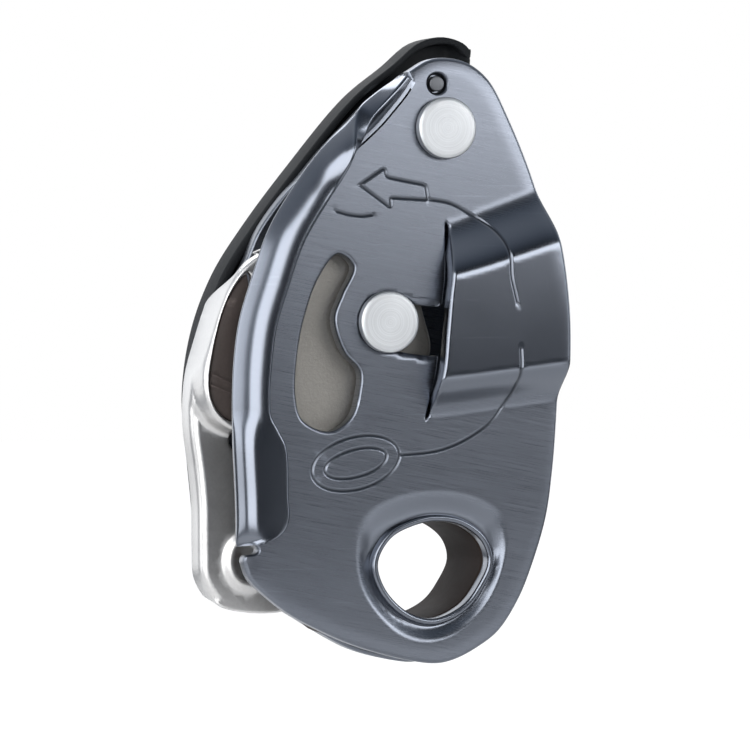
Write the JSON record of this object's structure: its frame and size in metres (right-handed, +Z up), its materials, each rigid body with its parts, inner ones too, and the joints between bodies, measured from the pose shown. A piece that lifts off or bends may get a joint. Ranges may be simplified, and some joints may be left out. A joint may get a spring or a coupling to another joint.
{
  "type": "assisted braking belay device",
  "caption": "Rope brake with two hinged side plates, a pivoting pinch cam between them and a folding release handle behind; hangs from an attachment hole.",
  "frame": {"origin": "middle of the attachment hole, halfway between the two side plates", "axes": "+Z up towards the swing plate's pivot, +X to the right seen from the front plate, +Y from the front plate to the handle behind"},
  "size_m": [0.0584, 0.0361, 0.1033],
  "materials": {
    "anodised_plate": "brushed and anodised slate grey",
    "turned_steel": "turned, fine rings",
    "pressed_steel": "pressed stainless, satin",
    "blasted_cam": "cast stainless, bead blasted",
    "spring_steel": "drawn wire",
    "bronze": "plain bearing bronze",
    "black_nylon": "moulded reinforced nylon",
    "dark_plastic": "moulded dark brown-black plastic"
  },
  "bodies": {
    "frame": {"fixed_side_plate": "anodised_plate", "closing_stop": "turned_steel", "opening_stop": "turned_steel", "pivot_rivet": "turned_steel", "pivot_spacer": "turned_steel", "pivot_washer": "bronze", "cam_axle": "turned_steel", "cam_axle_ring": "turned_steel", "cam_spring_cap": "pressed_steel", "cam_return_spring": "spring_steel", "cam_thrust_washer": "bronze", "cam_stop_pin": "turned_steel", "friction_plate": "pressed_steel", "name_insert": "dark_plastic", "friction_rivet_lower": "turned_steel", "friction_rivet_upper": "turned_steel", "attachment_liner": "dark_plastic", "brake_anvil": "turned_steel", "anvil_rivet_1": "turned_steel", "anvil_rivet_2": "turned_steel", "rope_guide": "anodised_plate", "guide_rivet_1": "turned_steel", "guide_rivet_2": "turned_steel"},
    "swing_plate": {"swing_side_plate": "anodised_plate", "swing_stop_pin": "turned_steel"},
    "cam_group": {"cam": "blasted_cam", "cam_bush": "bronze", "cam_sleeve": "turned_steel", "drive_arm": "pressed_steel", "handle_pivot_pin": "turned_steel"},
    "handle": {"handle_lever": "black_nylon", "handle_bush": "bronze", "handle_return_spring": "spring_steel", "handle_hub_cap": "black_nylon"}
  },
  "joints": [
    {"name": "swing_open", "type": "hinge", "parent": "frame", "child": "swing_plate", "pos_m": [0.0016, 0, 0.0715], "axis": [0, 1, 0], "range_deg": [0, 117]},
    {"name": "cam_lock", "type": "hinge", "parent": "frame", "child": "cam_group", "pos_m": [-0.0082, 0, 0.0401], "axis": [0, 1, 0], "range_deg": [0, 22], "stiffness_Nm_per_rad": 0.05, "springref_deg": -17.19},
    {"name": "handle_unfold", "type": "hinge", "parent": "cam_group", "child": "handle", "pos_m": [-0.026, 0, 0.005], "axis": [0, 1, 0], "range_deg": [-135, 0], "stiffness_Nm_per_rad": 0.02, "springref_deg": 17.19}
  ]
}
